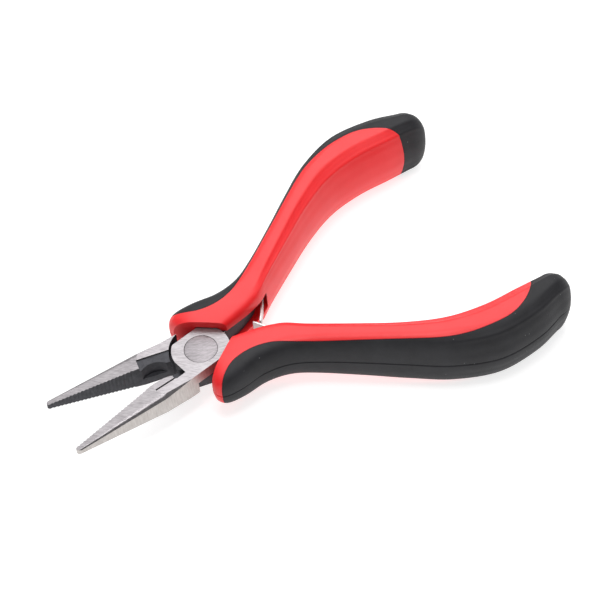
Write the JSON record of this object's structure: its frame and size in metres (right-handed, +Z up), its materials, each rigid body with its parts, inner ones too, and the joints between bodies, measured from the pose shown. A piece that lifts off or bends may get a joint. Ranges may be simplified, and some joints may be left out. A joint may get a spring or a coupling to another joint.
{
  "type": "needle nose pliers",
  "caption": "Needle nose pliers with toothed long jaws, side cutters, riveted lap joint, leaf springs and two-colour grips.",
  "frame": {"origin": "on the pivot axis at the underside of the riveted joint", "axes": "+X from the pivot towards the jaw tips along the tool's centre line, +Y towards the jaw of lever A, +Z up out of the face of lever A's plate"},
  "size_m": [0.1212, 0.0806, 0.0176],
  "materials": {
    "lever_a": "fine ground, satin",
    "lever_b": "fine ground, satin",
    "pivot_rivet": "ground flush",
    "leaf_spring_a": "bright spring steel",
    "leaf_spring_b": "bright spring steel",
    "grip_core_a": "smooth satin",
    "grip_core_b": "smooth satin",
    "grip_overmould_a": "fine matt",
    "grip_overmould_b": "fine matt"
  },
  "bodies": {
    "lever_a": {"lever_a": "lever_a", "pivot_rivet": "pivot_rivet", "grip_core_a": "grip_core_a", "grip_overmould_a": "grip_overmould_a"},
    "lever_b": {"lever_b": "lever_b", "grip_core_b": "grip_core_b", "grip_overmould_b": "grip_overmould_b"},
    "leaf_a": {"leaf_spring_a": "leaf_spring_a"},
    "leaf_b": {"leaf_spring_b": "leaf_spring_b"}
  },
  "joints": [
    {"name": "pivot", "type": "hinge", "parent": "lever_a", "child": "lever_b", "pos_m": [0, 0, 0.00335], "axis": [0, 0, 1], "range_deg": [-12, 21.4], "stiffness_Nm_per_rad": 1},
    {"name": "leaf_a_flex", "type": "hinge", "parent": "lever_a", "child": "leaf_a", "pos_m": [-0.02202, -0.00891, 0.00335], "axis": [0, 0, 1], "range_deg": [-23.5, 13.5]},
    {"name": "leaf_b_flex", "type": "hinge", "parent": "lever_b", "child": "leaf_b", "pos_m": [-0.02202, 0.00891, 0.00335], "axis": [0, 0, 1], "range_deg": [-13.5, 23.5]}
  ],
  "couplings": [
    {"joint": "leaf_a_flex", "follows": "pivot", "ratio": -1.065},
    {"joint": "leaf_b_flex", "follows": "pivot", "ratio": 1.065}
  ]
}
